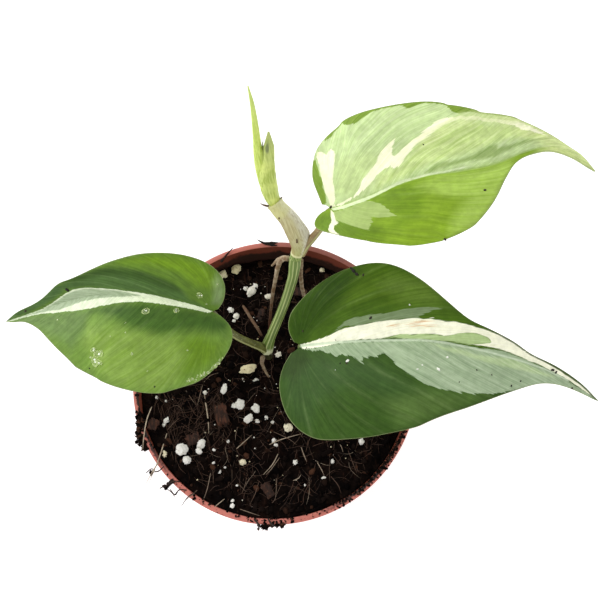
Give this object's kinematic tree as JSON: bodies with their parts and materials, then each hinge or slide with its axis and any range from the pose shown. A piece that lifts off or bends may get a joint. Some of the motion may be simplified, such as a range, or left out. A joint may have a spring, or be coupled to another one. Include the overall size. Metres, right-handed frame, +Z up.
{
  "type": "potted rio philodendron",
  "caption": "Young trailing aroid with heart-shaped variegated leaves, a papery sheath and a rolled new leaf, rooted in the soil of a round nursery pot.",
  "frame": {"origin": "centre of the pot's flat underside", "axes": "+Z up along the pot's axis; the upper and lower right leaves point towards +X, the left leaf towards -X, and the new shoot leans towards +Y"},
  "size_m": [0.203, 0.1217, 0.1677],
  "materials": {
    "pot": "terracotta-red moulded plastic, satin",
    "soil": "near-black peaty potting soil with brown fibres",
    "stem": "sage-green stem with fine pale ridges",
    "leaf_left": "mid-green waxy leaf with a cream stripe along the midrib",
    "leaf_lower": "dark-green waxy leaf with cream and grey-green bands",
    "leaf_upper": "waxy leaf, half pale mint with cream bands and half bright green",
    "sheath": "dry papery pale sheath with fine veins",
    "new_leaf": "soft yellow-green young tissue",
    "root": "matt brown to buff root skin",
    "grain": "matt white expanded mineral grain"
  },
  "bodies": {
    "root": {"pot": "pot", "soil": "soil", "stem": "stem", "leaf_left": "leaf_left", "leaf_lower": "leaf_lower", "leaf_upper": "leaf_upper", "sheath": "sheath", "new_leaf_roll": "new_leaf", "new_leaf_hood": "new_leaf", "root_long": "root", "root_back": "root", "root_base": "root", "root_surface": "root", "grain_1": "grain", "grain_2": "grain", "grain_3": "grain", "grain_4": "grain", "grain_5": "grain", "grain_6": "grain", "grain_7": "grain", "grain_8": "grain", "grain_9": "grain", "grain_10": "grain"}
  },
  "joints": []
}
